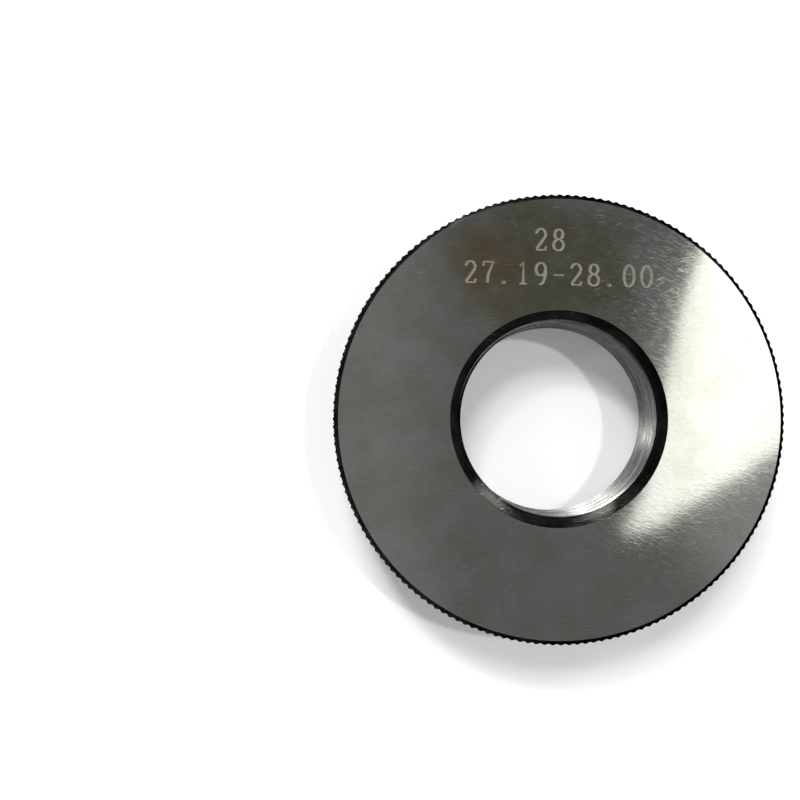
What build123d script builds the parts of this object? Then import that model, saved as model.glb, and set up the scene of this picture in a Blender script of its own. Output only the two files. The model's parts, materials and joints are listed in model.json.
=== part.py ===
from build123d import *
import os
from math import cos, pi, radians, sin, sqrt, tan

# A solid thread ring gauge: one hardened steel ring with a fine metric thread through
# it, ground flat faces and a diamond knurl round its rim for grip. It lies flat, its
# axis is Z and the origin is at the middle of its lower face.

# Driving dimensions, in millimetres and degrees
thread_diameter = 28.0  # nominal diameter of the thread that is gauged
thread_pitch = 0.75
ring_diameter = 63.0  # over the tips of the knurl
ring_width = 12.0  # from face to face
mouth_chamfer = 1.5  # 45 degree lead-in at both ends of the thread
rim_chamfer = 0.75  # 45 degree edge break at both ends of the knurl
knurl_pitch = 1.0  # from ridge to ridge, square to the ridges
knurl_angle = 30.0  # between the ridges and the axis
knurl_depth = 0.3  # from the tips down to the grooves
tool_overrun = 1.0  # by which the boring tool passes the faces

# The crests of an internal thread stand 5/8 of the sharp thread height inside the
# nominal radius. The bore is at the crests, as it is before the thread is cut.
sharp_thread_height = sqrt(3) / 2 * thread_pitch
bore_radius = thread_diameter / 2 - 5 / 8 * sharp_thread_height
mouth_radius = bore_radius + mouth_chamfer
tip_radius = ring_diameter / 2
groove_radius = tip_radius - knurl_depth
face_radius = tip_radius - rim_chamfer

# The knurl is a net of points, half a diamond apart in columns along the axis and in
# levels square to it. Whole diamonds close the ring and whole levels fill the rim.
diamonds_round = round(2 * pi * tip_radius * cos(radians(knurl_angle)) / knurl_pitch)
columns = 2 * diamonds_round
column_turn = 360 / columns
knurl_height = ring_width - 2 * rim_chamfer
half_diamond = pi * tip_radius / diamonds_round / tan(radians(knurl_angle))
levels = round(knurl_height / half_diamond)


def on_rim(radius, column, height):
    """The point at this radius and height in a column of the net."""
    turn = radians(column * column_turn)
    return Vector(radius * cos(turn), radius * sin(turn), height)


def net_point(column, level):
    """A point of the rim. Tips and groove crossings take turns, those of the first and
    last level lie on the edge breaks, and one more level at each end is on a face."""
    if level < 0:
        return on_rim(face_radius, column, 0)
    if level > levels:
        return on_rim(face_radius, column, ring_width)
    radius = tip_radius if (column + level) % 2 else groove_radius
    edge_height = radius - face_radius
    if level == 0:
        return on_rim(radius, column, edge_height)
    if level == levels:
        return on_rim(radius, column, ring_width - edge_height)
    return on_rim(radius, column, rim_chamfer + level * knurl_height / levels)


def facet(*corners):
    """The flat face between these corners."""
    return Face(Wire.make_polygon(corners))


def flanks(column, level):
    """The two flat flanks in one mesh of the net, which meet along its groove."""
    near = net_point(column, level)
    right = net_point(column + 1, level)
    above = net_point(column, level + 1)
    across = net_point(column + 1, level + 1)
    if (column + level) % 2:
        return facet(near, right, above), facet(right, across, above)
    return facet(near, right, across), facet(near, across, above)


def knurled_blank():
    """The ring before boring: one diamond's strip of flanks, repeated round the rim
    between the two faces."""
    strip = [flank for column in range(2) for level in range(-1, levels + 1)
             for flank in flanks(column, level)]
    skin = [Rotation(0, 0, 2 * diamond * column_turn) * flank
            for diamond in range(diamonds_round) for flank in strip]
    for level in (-1, levels + 1):
        skin.append(facet(*(net_point(column, level) for column in range(columns))))
    return Solid(Shell(skin))


with BuildPart() as gauge_ring:
    add(knurled_blank())
    # Bore with its lead-in at both ends, as the section of what is cut away
    with BuildSketch(Plane.XZ):
        with BuildLine():
            Polyline(
                (0, -tool_overrun),
                (mouth_radius + tool_overrun, -tool_overrun),
                (bore_radius, mouth_chamfer),
                (bore_radius, ring_width - mouth_chamfer),
                (mouth_radius + tool_overrun, ring_width + tool_overrun),
                (0, ring_width + tool_overrun),
                close=True,
            )
        make_face()
    revolve(axis=Axis.Z, mode=Mode.SUBTRACT)

gauge_ring.part.label = "gauge_ring"

os.makedirs("parts", exist_ok=True)
export_step(gauge_ring.part, "parts/gauge_ring.step")
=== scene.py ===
import json
from math import atan2, ceil, cos, pi, radians, sin, tan

import bmesh
import bpy
from bmesh.types import BMEdge, BMVert
from mathutils import Matrix, Vector


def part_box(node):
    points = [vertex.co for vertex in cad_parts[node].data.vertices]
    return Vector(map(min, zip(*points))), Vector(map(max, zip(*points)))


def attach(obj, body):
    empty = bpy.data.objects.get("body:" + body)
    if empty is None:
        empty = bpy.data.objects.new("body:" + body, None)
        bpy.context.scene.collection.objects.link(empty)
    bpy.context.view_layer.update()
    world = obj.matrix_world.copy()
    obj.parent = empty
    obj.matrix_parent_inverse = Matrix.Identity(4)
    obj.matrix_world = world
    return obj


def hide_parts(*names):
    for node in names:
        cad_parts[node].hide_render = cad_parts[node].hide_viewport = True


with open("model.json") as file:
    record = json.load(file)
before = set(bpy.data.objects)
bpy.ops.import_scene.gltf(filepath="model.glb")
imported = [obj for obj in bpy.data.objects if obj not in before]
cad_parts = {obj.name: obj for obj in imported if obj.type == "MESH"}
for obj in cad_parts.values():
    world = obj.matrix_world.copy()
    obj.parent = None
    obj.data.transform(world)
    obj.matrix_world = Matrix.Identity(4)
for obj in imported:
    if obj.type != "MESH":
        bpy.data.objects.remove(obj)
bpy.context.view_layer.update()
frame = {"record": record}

# ---------------------------------------------------------------------------
# Sizes of the ring, in metres and degrees
# ---------------------------------------------------------------------------
MM = 0.001
TOUCHING = 0.001 * MM  # points nearer than this are the same point
high_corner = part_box("gauge_ring")[1]
thread_mount = next(m for m in frame["record"]["mounts"] if m["name"] == "thread_bore")

tip_radius = high_corner.x
ring_width = high_corner.z
crest_radius = thread_mount["dims"]["r_mm"] * MM
mouth_chamfer = (ring_width - thread_mount["dims"]["length_mm"] * MM) / 2
mouth_radius = crest_radius + mouth_chamfer
rim_chamfer = 0.75 * MM
face_radius = tip_radius - rim_chamfer
edge_break = 0.07 * MM  # rounding of the faces' outer edges
mouth_edge_break = 0.03 * MM

thread_pitch = 0.75 * MM
thread_radius = 14.0 * MM  # nominal, at the roots of this internal thread
flank_angle = 30.0  # between a flank and a plane across the axis
thread_runout = 1.5 * MM  # by which the tap passes each face
turn_steps = 144  # steps in one turn of the thread
drilling_allowance = 0.4 * MM  # wall that the drill leaves for the tap

knurl_pitch = 1.0 * MM
knurl_angle = 30.0
knurl_depth = 0.3 * MM
tip_flat = 0.13 * MM  # from the middle of a worn tip to its corner
groove_radius = tip_radius - knurl_depth
diamonds_round = round(2 * pi * tip_radius * cos(radians(knurl_angle)) / knurl_pitch)
columns = 2 * diamonds_round
column_turn = 2 * pi / columns
knurl_height = ring_width - 2 * rim_chamfer
half_diamond = pi * tip_radius / diamonds_round / tan(radians(knurl_angle))
levels = round(knurl_height / half_diamond)

sharp_angle = 28  # edges steeper than this stay sharp


# ---------------------------------------------------------------------------
# Small helpers
# ---------------------------------------------------------------------------
def mesh_object(name, bm, materials):
    """An object at the origin from a finished bmesh."""
    bmesh.ops.recalc_face_normals(bm, faces=bm.faces)
    mesh = bpy.data.meshes.new(name)
    bm.to_mesh(mesh)
    bm.free()
    for material in materials:
        mesh.materials.append(material)
    piece = bpy.data.objects.new(name, mesh)
    bpy.context.scene.collection.objects.link(piece)
    return piece


def cut(piece, cutter):
    """Cuts the cutter out of the piece for good. The new walls keep the cutter's material."""
    modifier = piece.modifiers.new("cut", "BOOLEAN")
    modifier.operation = "DIFFERENCE"
    modifier.solver = "EXACT"
    modifier.use_self = True
    modifier.material_mode = "TRANSFER"
    modifier.object = cutter
    evaluated = piece.evaluated_get(bpy.context.evaluated_depsgraph_get())
    mesh = bpy.data.meshes.new_from_object(evaluated)
    piece.modifiers.clear()
    piece.data = mesh
    bpy.data.objects.remove(cutter)


def smooth_by_angle(piece, degrees):
    """Smooth shading that stays sharp at steeper edges and round the level faces."""
    bm = bmesh.new()
    bm.from_mesh(piece.data)
    for face in bm.faces:
        face.smooth = True
    for edge in bm.edges:
        level_sides = sum(abs(face.normal.z) > 0.999 for face in edge.link_faces)
        edge.smooth = level_sides != 1 and edge.calc_face_angle(pi) < radians(degrees)
    bm.to_mesh(piece.data)
    bm.free()


def bevel(bm, geom, offset, affect, segments):
    """Bevels vertices or edges. The new faces take the material beside them."""
    bmesh.ops.bevel(bm, geom=geom, offset=offset, offset_type="OFFSET", affect=affect,
                    segments=segments, profile=0.5, material=-1)


# ---------------------------------------------------------------------------
# Shader helpers
# ---------------------------------------------------------------------------
def wire(tree, node, inputs):
    """Sets a node's inputs, given by name or number, each to a value or from a socket."""
    for name, value in inputs.items():
        if isinstance(value, bpy.types.NodeSocket):
            tree.links.new(value, node.inputs[name])
        else:
            node.inputs[name].default_value = value


def add_node(tree, kind, settings=None, inputs=None):
    """Adds a shader node with its settings and its inputs."""
    made = tree.nodes.new("ShaderNode" + kind)
    for name, value in (settings or {}).items():
        setattr(made, name, value)
    wire(tree, made, inputs or {})
    return made


def math(tree, operation, *values):
    """The result of a Math node."""
    inputs = dict(enumerate(values))
    return add_node(tree, "Math", {"operation": operation}, inputs).outputs[0]


def vector_math(tree, operation, *values, output="Vector"):
    """The result of a Vector Math node."""
    inputs = dict(enumerate(values))
    return add_node(tree, "VectorMath", {"operation": operation}, inputs).outputs[output]


def mix_colour(tree, factor, low, high):
    """One colour blended over another."""
    inputs = {"Factor": factor, 6: low, 7: high}
    return add_node(tree, "Mix", {"data_type": "RGBA"}, inputs).outputs[2]


def ramp(tree, value, start, end, low=0.0, high=1.0):
    """A smooth step of the value between start and end."""
    inputs = {"Value": value, 1: start, 2: end, 3: low, 4: high}
    return add_node(tree, "MapRange", {"interpolation_type": "SMOOTHSTEP"}, inputs).outputs[0]


def stretched(tree, vector, size, turn=0.0):
    """The pattern space of a mark of this size, turned by degrees in plan."""
    as_texture = {"vector_type": "TEXTURE"}
    rotation = {"Vector": vector, "Rotation": (0, 0, radians(turn))}
    turned = add_node(tree, "Mapping", as_texture, rotation).outputs[0]
    return add_node(tree, "Mapping", as_texture, {"Vector": turned, "Scale": size}).outputs[0]


def noise(tree, vector, detail=2.0):
    """The value of a noise texture in units of its pattern space."""
    inputs = {"Vector": vector, "Scale": 1.0, "Detail": detail, "Roughness": 0.5}
    return add_node(tree, "TexNoise", None, inputs).outputs[0]


def cloud_noise(tree, vector, size, detail=2.0, turn=0.0):
    """Round marks of this size in millimetres."""
    return noise(tree, stretched(tree, vector, (size * MM,) * 3, turn), detail)


def stroke_noise(tree, vector, length, width, turn, detail=1.0):
    """Straight marks of this length and width in millimetres, turned by degrees in plan."""
    size = (length * MM, width * MM, 1 * MM)
    return noise(tree, stretched(tree, vector, size, turn), detail)


def bump(tree, height, depth):
    """The normal of a relief this deep."""
    return add_node(tree, "Bump", None, {"Height": height, "Distance": depth}).outputs[0]


def new_group(name, inputs, outputs):
    """A shader node group. Inputs are given with their socket kinds and defaults."""
    group = bpy.data.node_groups.new(name, "ShaderNodeTree")
    for socket, (kind, value) in inputs.items():
        made = group.interface.new_socket(socket, in_out="INPUT", socket_type=kind)
        if value is not None:
            made.default_value = value
    for socket in outputs:
        group.interface.new_socket(socket, in_out="OUTPUT", socket_type="NodeSocketFloat")
    given = group.nodes.new("NodeGroupInput").outputs
    return group, given, group.nodes.new("NodeGroupOutput")


def use_group(tree, group, inputs):
    """Places a node group in a material."""
    made = tree.nodes.new("ShaderNodeGroup")
    made.node_tree = group
    wire(tree, made, inputs)
    return made.outputs


def empty_material(name):
    """A node material with nothing in it yet."""
    material = bpy.data.materials.new(name)
    material.use_nodes = True
    material.node_tree.nodes.clear()
    return material, material.node_tree


def new_steel(name):
    """A node material with only its shader and its output, and the place on the piece."""
    material, tree = empty_material(name)
    shader = add_node(tree, "BsdfPrincipled")
    add_node(tree, "OutputMaterial", None, {"Surface": shader.outputs[0]})
    place = add_node(tree, "TexCoord").outputs["Object"]
    return material, tree, shader, place


# ---------------------------------------------------------------------------
# Effects that the steels share
# ---------------------------------------------------------------------------
VECTOR_INPUT = {"Vector": ("NodeSocketVector", None)}


def sized_inputs(size):
    """A group's inputs where its marks have a size, with its default in millimetres."""
    return VECTOR_INPUT | {"Size": ("NodeSocketFloat", size * MM)}


def sized(tree, given):
    """The group's Vector input in units of its Size input."""
    inputs = {0: given["Vector"], "Scale": math(tree, "DIVIDE", 1.0, given["Size"])}
    return add_node(tree, "VectorMath", {"operation": "SCALE"}, inputs).outputs[0]


def make_mottling():
    """Soft clouds of tone, as heat treatment and handling leave them."""
    tree, given, result = new_group("mottling", sized_inputs(3), ["Cloud"])
    wire(tree, result, {"Cloud": noise(tree, sized(tree, given), 3.0)})
    return tree


def make_grit():
    """A fine grain."""
    tree, given, result = new_group("grit", sized_inputs(0.15), ["Grain"])
    wire(tree, result, {"Grain": noise(tree, sized(tree, given))})
    return tree


def make_turning_lines():
    """Fine lines round the axis, as the tool's feed leaves them. Size is their spacing."""
    tree, given, result = new_group("turning_lines", sized_inputs(0.05), ["Lines"])
    length_to_spacing = 900
    drawn_out = stretched(tree, sized(tree, given), (length_to_spacing, length_to_spacing, 1))
    wire(tree, result, {"Lines": noise(tree, drawn_out)})
    return tree


def make_grinding_strokes():
    """Short strokes that cross at a small angle, as a fine wheel leaves them."""
    outputs = ["Height", "Streaks", "Deep"]
    tree, given, result = new_group("grinding_strokes", VECTOR_INPUT, outputs)
    straight = given["Vector"]
    # The strokes wander a little from straight lines
    wave = math(tree, "SUBTRACT", cloud_noise(tree, straight, 5), 0.5)
    lean = math(tree, "MULTIPLY", wave, 1.2 * MM)
    bend = add_node(tree, "CombineXYZ", None, {"Y": lean}).outputs[0]
    bent = vector_math(tree, "ADD", straight, bend)

    falling = stroke_noise(tree, bent, length=1.6, width=0.30, turn=-24)
    rising = stroke_noise(tree, bent, length=1.2, width=0.26, turn=7)
    falling_strokes = ramp(tree, falling, 0.42, 0.72)
    rising_strokes = ramp(tree, rising, 0.46, 0.76, 0.0, 0.7)
    crossed = math(tree, "ADD", falling_strokes, rising_strokes)
    level = stroke_noise(tree, straight, length=6, width=0.12, turn=-1, detail=2.0)
    finish = math(tree, "ADD", crossed, math(tree, "MULTIPLY", level, 0.10))

    steep = stroke_noise(tree, bent, length=1.4, width=0.22, turn=-20)
    flat = stroke_noise(tree, bent, length=1.2, width=0.20, turn=5)
    deep = math(tree, "MAXIMUM", ramp(tree, steep, 0.62, 0.74), ramp(tree, flat, 0.62, 0.74))
    wire(tree, result, {
        "Height": math(tree, "MULTIPLY_ADD", deep, -0.8, finish),
        "Streaks": ramp(tree, level, 0.35, 0.65),
        "Deep": deep,
    })
    return tree


def make_scratches():
    """Thin handling scratches in three directions, and small bright nicks."""
    tree, given, result = new_group("scratches", VECTOR_INPUT, ["Lines", "Nicks"])
    place = given["Vector"]
    all_lines = 0.0
    # Each set is given by its direction, its length and width, and the noise it starts at
    for turn, length, width, start in (
        (24, 2.2, 0.11, 0.73),
        (-38, 1.6, 0.10, 0.74),
        (4, 3.2, 0.11, 0.71),
    ):
        lines = stroke_noise(tree, place, length, width, turn, detail=0.0)
        patches = cloud_noise(tree, place, 6, 1.0, turn)
        in_line = ramp(tree, lines, start, start + 0.04)
        in_patch = ramp(tree, patches, 0.5, 0.62)
        all_lines = math(tree, "MAXIMUM", all_lines, math(tree, "MULTIPLY", in_line, in_patch))
    specks = cloud_noise(tree, place, 0.22, 0.0)
    wire(tree, result, {"Lines": all_lines, "Nicks": ramp(tree, specks, 0.80, 0.84)})
    return tree


# ---------------------------------------------------------------------------
# Materials
# ---------------------------------------------------------------------------
EDGE_ON_TINT = (0.12, 0.12, 0.12, 1)  # black scale stays dark where it is seen edge-on


def make_lapped_steel():
    """The two faces: fine crossing strokes with painted shade in the deep ones, a brown film round
    the numbers that is partly a painted reflection, few scratches.
    """
    material, tree, shader, place = new_steel("lapped_steel")
    strokes = use_group(tree, grinding_strokes, {"Vector": place})
    scratched = use_group(tree, scratches, {"Vector": place})
    cloud = use_group(tree, mottling, {"Vector": place, "Size": 7 * MM})["Cloud"]
    blotch = use_group(tree, mottling, {"Vector": place, "Size": 4 * MM})["Cloud"]

    dull, bright = (0.42, 0.43, 0.395, 1), (0.52, 0.52, 0.51, 1)
    broad_tone = ramp(tree, cloud, 0.35, 0.65, 0.0, 0.6)
    narrow_tone = ramp(tree, blotch, 0.35, 0.65, 0.0, 0.4)
    mottled = mix_colour(tree, math(tree, "ADD", broad_tone, narrow_tone), dull, bright)
    # Light streaks follow the grinding; the darker colour beside them is painted shade, laid in
    # the deep strokes for the shade in their grooves
    light_streak, groove_shade = (0.66, 0.66, 0.64, 1), (0.25, 0.25, 0.23, 1)
    streak_share = math(tree, "MULTIPLY", strokes["Streaks"], 0.12)
    streaked = mix_colour(tree, streak_share, mottled, light_streak)
    groove_shade_share = math(tree, "MULTIPLY", strokes["Deep"], 0.28)
    groove_shaded = mix_colour(tree, groove_shade_share, streaked, groove_shade)

    # Oil and etching fluid have left a film round the numbers, brownest at its left; its olive and
    # brown tints are partly a painted reflection of a dark brown thing over the face
    film_and_reflection_centre = (-1.6 * MM, 20.5 * MM, ring_width)
    film_and_reflection_reach = (12.4 * MM, 9.5 * MM, 6 * MM)
    olive_film_and_reflection, brown_film_and_reflection = (0.35, 0.34, 0.24, 1), (0.41, 0.305, 0.19, 1)
    spread = {"Vector": place, "Location": film_and_reflection_centre, "Scale": film_and_reflection_reach}
    offset = add_node(tree, "Mapping", {"vector_type": "TEXTURE"}, spread).outputs[0]
    reach = vector_math(tree, "LENGTH", offset, output="Value")
    ragged = math(tree, "MULTIPLY_ADD", math(tree, "SUBTRACT", cloud, 0.5), 0.9, reach)
    film_and_reflection_patches = ramp(tree, blotch, 0.25, 0.6, 0.5, 1.0)
    film_and_reflection = math(tree, "MULTIPLY", ramp(tree, ragged, 1.2, 0.7), film_and_reflection_patches)
    # The brownest patch, near the M, is part film and part painted reflection of a dark brown
    # thing
    brown_centre = (-11 * MM, 21 * MM, ring_width)
    away = vector_math(tree, "DISTANCE", place, brown_centre, output="Value")
    brown_patches = ramp(tree, blotch, 0.3, 0.6, 0.5, 1.0)
    brown = math(tree, "MULTIPLY", ramp(tree, away, 8 * MM, 2 * MM), brown_patches)
    film_and_reflection_tinted = mix_colour(tree, film_and_reflection, groove_shaded, mix_colour(tree, brown, olive_film_and_reflection, brown_film_and_reflection))

    bare_line, bare_nick = (0.8, 0.8, 0.77, 1), (0.85, 0.85, 0.82, 1)
    line_share = math(tree, "MULTIPLY", scratched["Lines"], 0.3)
    nick_share = math(tree, "MULTIPLY", scratched["Nicks"], 0.5)
    marked = mix_colour(tree, line_share, film_and_reflection_tinted, bare_line)
    rough = ramp(tree, strokes["Height"], 0.1, 0.9, 0.07, 0.10)
    wire(tree, shader, {
        "Base Color": mix_colour(tree, nick_share, marked, bare_nick),
        "Metallic": 1.0,
        "Roughness": math(tree, "MULTIPLY_ADD", scratched["Lines"], 0.06, rough),
        "Normal": bump(tree, strokes["Height"], 0.0006 * MM),
    })
    return material


def make_turned_steel():
    """The dark, heat-treated chamfers: fine lines round the axis, brighter where rubbed."""
    material, tree, shader, place = new_steel("turned_steel")
    lines = use_group(tree, turning_lines, {"Vector": place, "Size": 0.05 * MM})["Lines"]
    cloud = use_group(tree, mottling, {"Vector": place, "Size": 3 * MM})["Cloud"]
    scratched = use_group(tree, scratches, {"Vector": place})["Lines"]
    black, grey, bare = (0.006, 0.006, 0.0055, 1), (0.015, 0.015, 0.014, 1), (0.08, 0.08, 0.076, 1)
    scale = mix_colour(tree, ramp(tree, cloud, 0.35, 0.7), black, grey)
    rubbed = math(tree, "MULTIPLY_ADD", scratched, 0.5, ramp(tree, lines, 0.62, 0.78))
    wire(tree, shader, {
        "Base Color": mix_colour(tree, rubbed, scale, bare),
        "Metallic": 1.0,
        "Specular Tint": EDGE_ON_TINT,
        "Roughness": ramp(tree, cloud, 0.3, 0.7, 0.16, 0.30),
        "Normal": bump(tree, lines, 0.004 * MM),
    })
    return material


def make_knurled_steel():
    """The rim: black scale in the grooves, rubbed a little lighter on the tips."""
    material, tree, shader, place = new_steel("knurled_steel")
    cloud = use_group(tree, mottling, {"Vector": place, "Size": 2 * MM})["Cloud"]
    grain = use_group(tree, grit, {"Vector": place, "Size": 0.12 * MM})["Grain"]
    black, grey, bare = (0.009, 0.009, 0.008, 1), (0.024, 0.024, 0.022, 1), (0.15, 0.15, 0.143, 1)
    scale = mix_colour(tree, ramp(tree, grain, 0.3, 0.7), black, grey)
    in_plan = vector_math(tree, "MULTIPLY", place, (1, 1, 0))
    radius = vector_math(tree, "LENGTH", in_plan, output="Value")
    tips = ramp(tree, radius, tip_radius - 0.10 * MM, tip_radius - 0.02 * MM)
    worn = math(tree, "MULTIPLY", tips, ramp(tree, cloud, 0.3, 0.65, 0.25, 1.0))
    wire(tree, shader, {
        "Base Color": mix_colour(tree, worn, scale, bare),
        "Metallic": 1.0,
        "Specular Tint": EDGE_ON_TINT,
        "Roughness": ramp(tree, grain, 0.3, 0.7, 0.38, 0.52),
        "Normal": bump(tree, grain, 0.010 * MM),
    })
    return material


def make_thread_steel():
    """The thread's flanks: ground steel with fine lines along the helix."""
    material, tree, shader, place = new_steel("thread_steel")
    lines = use_group(tree, turning_lines, {"Vector": place, "Size": 0.03 * MM})["Lines"]
    flattened = stretched(tree, place, (5, 5, 0.9))
    cloud = use_group(tree, mottling, {"Vector": flattened, "Size": 1 * MM})["Cloud"]
    dull, bright = (0.12, 0.12, 0.115, 1), (0.32, 0.32, 0.31, 1)
    wire(tree, shader, {
        "Base Color": mix_colour(tree, ramp(tree, cloud, 0.3, 0.7), dull, bright),
        "Metallic": 1.0,
        "Roughness": ramp(tree, lines, 0.3, 0.7, 0.18, 0.34),
        "Normal": bump(tree, lines, 0.003 * MM),
    })
    return material


def make_etched_steel():
    """The pale, frosted floor of the etched numbers."""
    material, tree, shader, place = new_steel("etched_steel")
    grain = use_group(tree, grit, {"Vector": place, "Size": 0.15 * MM})["Grain"]
    dull, frosted = (0.11, 0.106, 0.077, 1), (0.228, 0.22, 0.165, 1)
    wire(tree, shader, {
        "Base Color": mix_colour(tree, ramp(tree, grain, 0.3, 0.7), dull, frosted),
        "Metallic": 0.3,
        "Roughness": ramp(tree, grain, 0.3, 0.7, 0.55, 0.75),
        "Normal": bump(tree, grain, 0.010 * MM),
    })
    return material


mottling = make_mottling()
grit = make_grit()
turning_lines = make_turning_lines()
grinding_strokes = make_grinding_strokes()
scratches = make_scratches()
lapped_steel = make_lapped_steel()
turned_steel = make_turned_steel()
knurled_steel = make_knurled_steel()
thread_steel = make_thread_steel()
etched_steel = make_etched_steel()


# ---------------------------------------------------------------------------
# The ring
# ---------------------------------------------------------------------------
def column_of(vert):
    """The number of the net column that a vertex stands in."""
    return round(atan2(vert.co.y, vert.co.x) / column_turn) % columns


def next_section(bm, loop, radius_at, height_at):
    """Extrudes a closed loop of edges to the next section of the ring."""
    grown = bmesh.ops.extrude_edge_only(bm, edges=loop)["geom"]
    for vert in (v for v in grown if isinstance(v, BMVert)):
        column = column_of(vert)
        spread = radius_at(column) / vert.co.xy.length
        vert.co = (vert.co.x * spread, vert.co.y * spread, height_at(column))
    return [e for e in grown if isinstance(e, BMEdge)]


def rim_radius(column, level):
    """Tips and groove crossings take turns round the rim and up it."""
    return tip_radius if (column + level) % 2 else groove_radius


def rim_height(column, level):
    """The first and last level lie on the edge breaks."""
    if level == 0:
        return rim_radius(column, level) - face_radius
    if level == levels:
        return ring_width - (rim_radius(column, level) - face_radius)
    return rim_chamfer + level * knurl_height / levels


def lies_in_face(edge):
    """True for an edge in the plane of the lower or the upper face."""
    heights = [v.co.z for v in edge.verts]
    return max(heights) < TOUCHING or min(heights) > ring_width - TOUCHING


def stands_at(edge, radius):
    """True for an edge whose ends stand this far from the axis."""
    return abs(sum(v.co.xy.length for v in edge.verts) / 2 - radius) < 0.01 * MM


def ring_material(face):
    """0 on the two faces, 1 on the chamfers and the drilled wall, 2 on the knurl."""
    if abs(face.normal.z) > 0.99:
        return 0
    middle = face.calc_center_median()
    between_chamfers = rim_chamfer < middle.z < ring_width - rim_chamfer
    return 2 if between_chamfers and middle.xy.length > face_radius else 1


def model_turned_ring():
    """The knurled, turned and drilled ring, before the thread and the numbers are cut."""
    bm = bmesh.new()
    start = Matrix.Rotation(-pi / 2, 4, "Z")
    bmesh.ops.create_circle(bm, radius=face_radius, segments=columns, matrix=start)
    loop = bm.edges[:]
    # Up the rim, over the upper face, down the bore and back over the lower face
    for level in range(levels + 1):
        loop = next_section(bm, loop, lambda column: rim_radius(column, level),
                            lambda column: rim_height(column, level))
    drill_radius = crest_radius - drilling_allowance
    drill_depth = mouth_chamfer + drilling_allowance
    for radius, height in (
        (face_radius, ring_width),
        (mouth_radius, ring_width),
        (drill_radius, ring_width - drill_depth),
        (drill_radius, drill_depth),
        (mouth_radius, 0),
        (face_radius, 0),
    ):
        loop = next_section(bm, loop, lambda column: radius, lambda column: height)
    bmesh.ops.remove_doubles(bm, verts=bm.verts, dist=TOUCHING)

    # Each mesh of the rim's net is folded along its groove
    half_way = (groove_radius + tip_radius) / 2
    on_rim = [v for v in bm.verts if v.co.xy.length > groove_radius - edge_break]
    in_grooves = [v for v in on_rim if v.co.xy.length < half_way]
    bmesh.ops.connect_verts(bm, verts=in_grooves)
    lowest_tip = rim_chamfer + edge_break
    tips = [v for v in on_rim
            if v.co.xy.length > half_way and lowest_tip < v.co.z < ring_width - lowest_tip]
    bevel(bm, tips, tip_flat, "VERTICES", segments=1)

    # The edges of the two faces are rounded a little
    for radius, rounding in ((face_radius, edge_break), (mouth_radius, mouth_edge_break)):
        corners = [e for e in bm.edges if lies_in_face(e) and stands_at(e, radius)]
        bevel(bm, corners, rounding, "EDGES", segments=2)
    bmesh.ops.recalc_face_normals(bm, faces=bm.faces)
    for face in bm.faces:
        face.material_index = ring_material(face)
    return mesh_object("threaded_ring", bm, (lapped_steel, turned_steel, knurled_steel))


def model_tap():
    """A tap as long as the ring and its run-out at both ends: the outline of one pitch,
    turned along the helix."""
    rise = (thread_radius - crest_radius) * tan(radians(flank_angle))
    root_flat = thread_pitch / 8
    crest_flat = thread_pitch - root_flat - 2 * rise
    outline = (
        (crest_radius, 0),
        (crest_radius, crest_flat),
        (thread_radius, crest_flat + rise),
        (thread_radius, crest_flat + rise + root_flat),
        (crest_radius, thread_pitch),
    )
    bm = bmesh.new()
    verts = [bm.verts.new((radius, 0, height)) for radius, height in outline]
    edges = [bm.edges.new(pair) for pair in zip(verts, verts[1:])]
    bmesh.ops.spin(bm, geom=verts + edges, axis=(0, 0, 1), cent=(0, 0, 0), angle=2 * pi,
                   dvec=(0, 0, thread_pitch / turn_steps), steps=turn_steps)
    # One turn is copied up the axis, with one more than the length needs
    one_turn = bm.verts[:] + bm.edges[:] + bm.faces[:]
    turns = ceil((ring_width + 2 * thread_runout) / thread_pitch) + 2
    for turn in range(1, turns):
        copied = bmesh.ops.duplicate(bm, geom=one_turn)["geom"]
        raised = [item for item in copied if isinstance(item, BMVert)]
        bmesh.ops.translate(bm, verts=raised, vec=(0, 0, turn * thread_pitch))
    first_turn = -thread_runout - 1.5 * thread_pitch
    bmesh.ops.translate(bm, verts=bm.verts, vec=(0, 0, first_turn))
    bmesh.ops.remove_doubles(bm, verts=bm.verts, dist=TOUCHING)
    for height, outward in ((-thread_runout, -1), (ring_width + thread_runout, 1)):
        bmesh.ops.bisect_plane(bm, geom=bm.verts[:] + bm.edges[:] + bm.faces[:],
                               plane_co=(0, 0, height), plane_no=(0, 0, outward),
                               clear_outer=True)
    bmesh.ops.holes_fill(bm, edges=[e for e in bm.edges if e.is_boundary])
    return mesh_object("tap", bm, (thread_steel,))


# ---------------------------------------------------------------------------
# The etched numbers
# ---------------------------------------------------------------------------
digit_height = 3.1 * MM
digit_width = 1.75 * MM
digit_step = 2.45 * MM
thick_stroke = 0.23 * MM  # half widths, down and across
thin_stroke = 0.14 * MM
etch_depth = 0.04 * MM
line_tilt = -1.6
# The bore and the thread in millimetres, and the middle of each line
number_lines = (
    ("27.19-28.00", Vector((0.0, 20.2)) * MM),
    ("28", Vector((-1.2, 25.0)) * MM),
)


def arc(x, y, width, height, start, end, steps=28):
    """Points of an elliptical arc in a digit's own square."""
    turns = [radians(start + (end - start) * i / steps) for i in range(steps + 1)]
    return [(x + width * cos(t), y + height * sin(t)) for t in turns]


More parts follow.
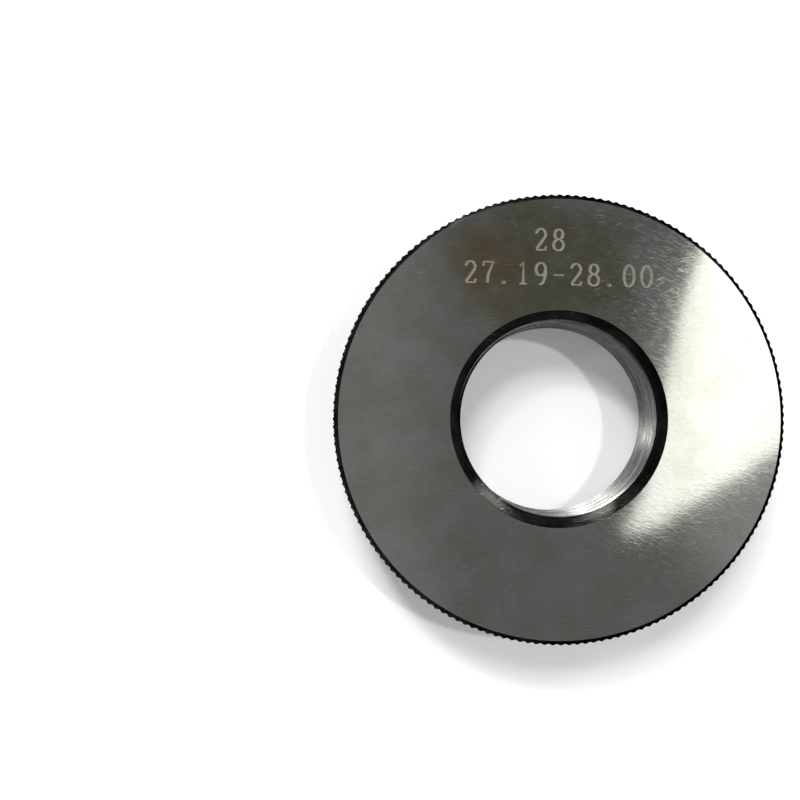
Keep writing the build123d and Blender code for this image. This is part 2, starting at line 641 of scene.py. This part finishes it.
# The strokes of each sign, in a square of side 1
DIGITS = {
    "0": [arc(0.5, 0.5, 0.40, 0.48, 90, 450)],
    "1": [[(0.22, 0.80), (0.50, 0.97), (0.50, 0.03)], [(0.20, 0.02), (0.80, 0.02)]],
    "2": [
        arc(0.48, 0.73, 0.37, 0.25, 175, -30) + [(0.14, 0.06)],
        [(0.14, 0.03), (0.86, 0.03), (0.90, 0.20)],
    ],
    "7": [[(0.12, 0.78), (0.14, 0.96), (0.90, 0.96), (0.52, 0.42), (0.44, 0.02)]],
    "8": [arc(0.5, 0.75, 0.32, 0.22, 90, 450), arc(0.5, 0.27, 0.39, 0.25, 90, 450)],
    "9": [arc(0.48, 0.70, 0.38, 0.28, 90, 450), arc(0.44, 0.62, 0.42, 0.60, 5, -100)],
    ".": [arc(0.35, 0.06, 0.06, 0.03, 0, 360, 10)],
    "-": [[(0.10, 0.45), (0.95, 0.45)]],
}


def draw_stroke(curve, points, tilt, centre):
    """Draws one stroke with a pen that is broad down the digit and fine across it."""
    closed = (points[0] - points[-1]).length < 0.01 * MM
    if closed:
        points.pop()
    last = len(points) - 1
    spline = curve.splines.new("POLY")
    spline.use_cyclic_u = closed
    spline.points.add(last)
    for i, point in enumerate(points):
        before = points[i - 1 if closed else max(i - 1, 0)]
        after = points[(i + 1) % len(points) if closed else min(i + 1, last)]
        along = after - before
        steep = abs(along.normalized().y) if along.length else 1.0
        spline.points[i].co = (*(tilt @ point + centre), 0, 1)
        spline.points[i].radius = thin_stroke + (thick_stroke - thin_stroke) * steep


def draw_number(curve, text, centre):
    """Draws a line of digits round its middle."""
    left = -digit_step * (len(text) - 1) / 2 - digit_width / 2
    tilt = Matrix.Rotation(radians(line_tilt), 2)
    for place, sign in enumerate(text):
        start = left + place * digit_step
        for stroke in DIGITS[sign]:
            points = [Vector((start + x * digit_width, (y - 0.5) * digit_height))
                      for x, y in stroke]
            draw_stroke(curve, points, tilt, centre)


def model_etching():
    """The numbers as a cutter that reaches a little below the upper face."""
    curve = bpy.data.curves.new("etching", "CURVE")
    curve.dimensions = "3D"
    curve.bevel_depth = 1.0  # each point's radius is its half width
    curve.bevel_resolution = 1
    curve.use_fill_caps = True
    for text, centre in number_lines:
        draw_number(curve, text, centre)
    drawn = bpy.data.objects.new("etching", curve)
    mesh = bpy.data.meshes.new_from_object(drawn)
    bpy.data.objects.remove(drawn)
    bm = bmesh.new()
    bm.from_mesh(mesh)
    bmesh.ops.remove_doubles(bm, verts=bm.verts, dist=TOUCHING)
    flattening = 2 * etch_depth / thick_stroke
    cutter_height = ring_width + 0.3 * etch_depth  # of the strokes' middle
    bmesh.ops.scale(bm, verts=bm.verts, vec=(1, 1, flattening))
    bmesh.ops.translate(bm, verts=bm.verts, vec=(0, 0, cutter_height))
    return mesh_object("etching", bm, (etched_steel,))


def make_ring():
    """The whole gauge: the turned ring with its thread and its numbers."""
    ring = model_turned_ring()
    cut(ring, model_tap())
    cut(ring, model_etching())
    smooth_by_angle(ring, sharp_angle)
    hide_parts("gauge_ring")
    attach(ring, "root")


make_ring()

# ---------------------------------------------------------------------------
# Floor, light and camera
# ---------------------------------------------------------------------------
# The eye stands close above the ring, a little to its left
eye_foot = Vector((-21.5, 0.5, 0)) * MM
eye_height = 130 * MM  # above the upper face

# The upper face mirrors the window over this outline, in millimetres
WINDOW_OUTLINE = (
    (8.6, -15.9), (11.5, -10.5), (14.3, 3.0), (16.6, 13.5), (18.2, 19.5), (20.2, 24.5),
    (25, 36), (80, 36), (80, 13), (31, -4.0), (20.0, -10.8), (13.0, -15.2),
)

lamp_distance = 0.5  # for show, as the light of these lamps has no source

# Name, bearing, lean from upright, width as seen, all in degrees, and power
LAMPS = (
    ("far_lamp", 101, 34, 16, 1.4),
    ("tube_lamp", 112, 43, 6, 0.7),
    ("right_lamp", 17, 27, 3, 0.8),
    ("left_lamp", 168, 50, 8, 0.2),
    ("side_lamp", 42, 82, 14, 1.4),
    ("low_lamp", 108, 79, 16, 1.9),
    ("strip_lamp", 98, 52, 12, 0.3),
)


def make_floor():
    """A pale table top that shows white to the camera and keeps the shadows."""
    half_side = 4
    shade, paler_shade = (0.80, 0.80, 0.80, 1), (0.82, 0.82, 0.82, 1)
    bm = bmesh.new()
    bmesh.ops.create_grid(bm, x_segments=1, y_segments=1, size=half_side)
    material, tree = empty_material("pale_floor")
    place = add_node(tree, "TexCoord").outputs["Object"]
    tone = mix_colour(tree, cloud_noise(tree, place, 20, 3.0), shade, paler_shade)
    diffuse = add_node(tree, "BsdfDiffuse", None, {"Color": tone}).outputs[0]
    white = {"Color": (1, 1, 1, 1), "Strength": 0.16}
    glow = add_node(tree, "Emission", None, white).outputs[0]
    lifted = add_node(tree, "AddShader", None, {0: diffuse, 1: glow}).outputs[0]
    # Only what looks at the floor or mirrors it sees it lifted to white
    path = add_node(tree, "LightPath").outputs
    seen = math(tree, "MAXIMUM", path["Is Camera Ray"], path["Is Glossy Ray"])
    seen = math(tree, "MAXIMUM", seen, path["Is Transmission Ray"])
    surface = add_node(tree, "MixShader", None, {0: seen, 1: diffuse, 2: lifted}).outputs[0]
    add_node(tree, "OutputMaterial", None, {"Surface": surface})
    mesh_object("floor", bm, (material,))


def make_world():
    """A plain room: white round the horizon and dim overhead, less so on the left and right."""
    world = bpy.data.worlds.new("room")
    bpy.context.scene.world = world
    world.use_nodes = True
    tree = world.node_tree
    tree.nodes.clear()
    direction = add_node(tree, "TexCoord").outputs["Generated"]
    way = add_node(tree, "SeparateXYZ", None, {0: direction}).outputs
    left = ramp(tree, way["X"], 0.08, -0.03, 0.18, 0.27)
    backward = math(tree, "MULTIPLY_ADD", way["X"], 1.2, way["Y"])
    overhead = math(tree, "MULTIPLY", left, ramp(tree, backward, 0.13, 0.33, 1.0, 0.82))
    sideways = math(tree, "ABSOLUTE", way["Y"])
    rightward = math(tree, "MULTIPLY_ADD", sideways, -0.5, way["X"])
    right = ramp(tree, rightward, 0.17, 0.30, 0.0, 0.24)
    horizon = ramp(tree, way["Z"], 0.12, 0.55, 1.0, 0.0)
    room = math(tree, "MAXIMUM", math(tree, "ADD", overhead, right), horizon)
    light = {"Color": (1, 1, 0.985, 1), "Strength": room}
    background = add_node(tree, "Background", None, light).outputs[0]
    add_node(tree, "OutputWorld", None, {"Surface": background})


def make_window():
    """A bright window high on the right, which only mirrors show."""
    height = 240 * MM  # above the upper face
    bm = bmesh.new()
    corners = []
    for x, y in WINDOW_OUTLINE:
        point = Vector((x, y, 0)) * MM
        beyond = point + (point - eye_foot) * height / eye_height
        corners.append(bm.verts.new((beyond.x, beyond.y, ring_width + height)))
    bm.faces.new(corners)
    material, tree = empty_material("window_light")
    place = add_node(tree, "TexCoord").outputs["Object"]
    rightward = add_node(tree, "SeparateXYZ", None, {0: place}).outputs["X"]
    strength = ramp(tree, rightward, 50 * MM, 110 * MM, 1.6, 2.25)
    light = {"Color": (1.0, 0.985, 0.92, 1), "Strength": strength}
    glow = add_node(tree, "Emission", None, light).outputs[0]
    add_node(tree, "OutputMaterial", None, {"Surface": glow})
    window = mesh_object("window", bm, (material,))
    window.visible_camera = False
    window.visible_diffuse = False
    window.visible_shadow = False


def make_lamp(name, bearing, lean, width, power):
    """A soft lamp so far away that its light falls parallel."""
    light = bpy.data.lights.new(name, "SUN")
    light.angle = radians(width)
    light.energy = power
    lamp = bpy.data.objects.new(name, light)
    bearing, lean = radians(bearing), radians(lean)
    away = Vector((sin(lean) * cos(bearing), sin(lean) * sin(bearing), cos(lean)))
    lamp.location = away * lamp_distance
    lamp.rotation_euler = away.to_track_quat("Z", "Y").to_euler()
    bpy.context.scene.collection.objects.link(lamp)


def make_camera():
    """Looks down from the eye and shows the ring near the right of the frame."""
    pixels_per_mm = 7.2  # on the upper face
    middle_pixel = 400  # of a frame 800 wide and high
    ring_pixel = Vector((559, 419))  # where the middle of the upper face stands in it
    camera = bpy.data.cameras.new("camera")
    camera.sensor_width = 36
    focal_pixels = pixels_per_mm * eye_height / MM
    camera.lens = focal_pixels / (2 * middle_pixel) * camera.sensor_width
    camera.clip_start = 1 * MM
    shown = bpy.data.objects.new("camera", camera)
    shown.location = eye_foot + Vector((0, 0, ring_width + eye_height))
    # The ring stands off the middle of the frame by these angles
    to_ring = Vector((0, 0, ring_width)) - shown.location
    right = atan2(ring_pixel.x - middle_pixel, focal_pixels)
    down = atan2(ring_pixel.y - middle_pixel, focal_pixels)
    pitch = down - atan2(-to_ring.y, -to_ring.z)
    yaw = right - atan2(to_ring.x, -to_ring.z)
    shown.rotation_euler = (pitch, yaw, 0)
    bpy.context.scene.collection.objects.link(shown)
    bpy.context.scene.camera = shown


make_floor()
make_world()
make_window()
for lamp in LAMPS:
    make_lamp(*lamp)
make_camera()
bpy.context.scene.view_settings.view_transform = "Standard"
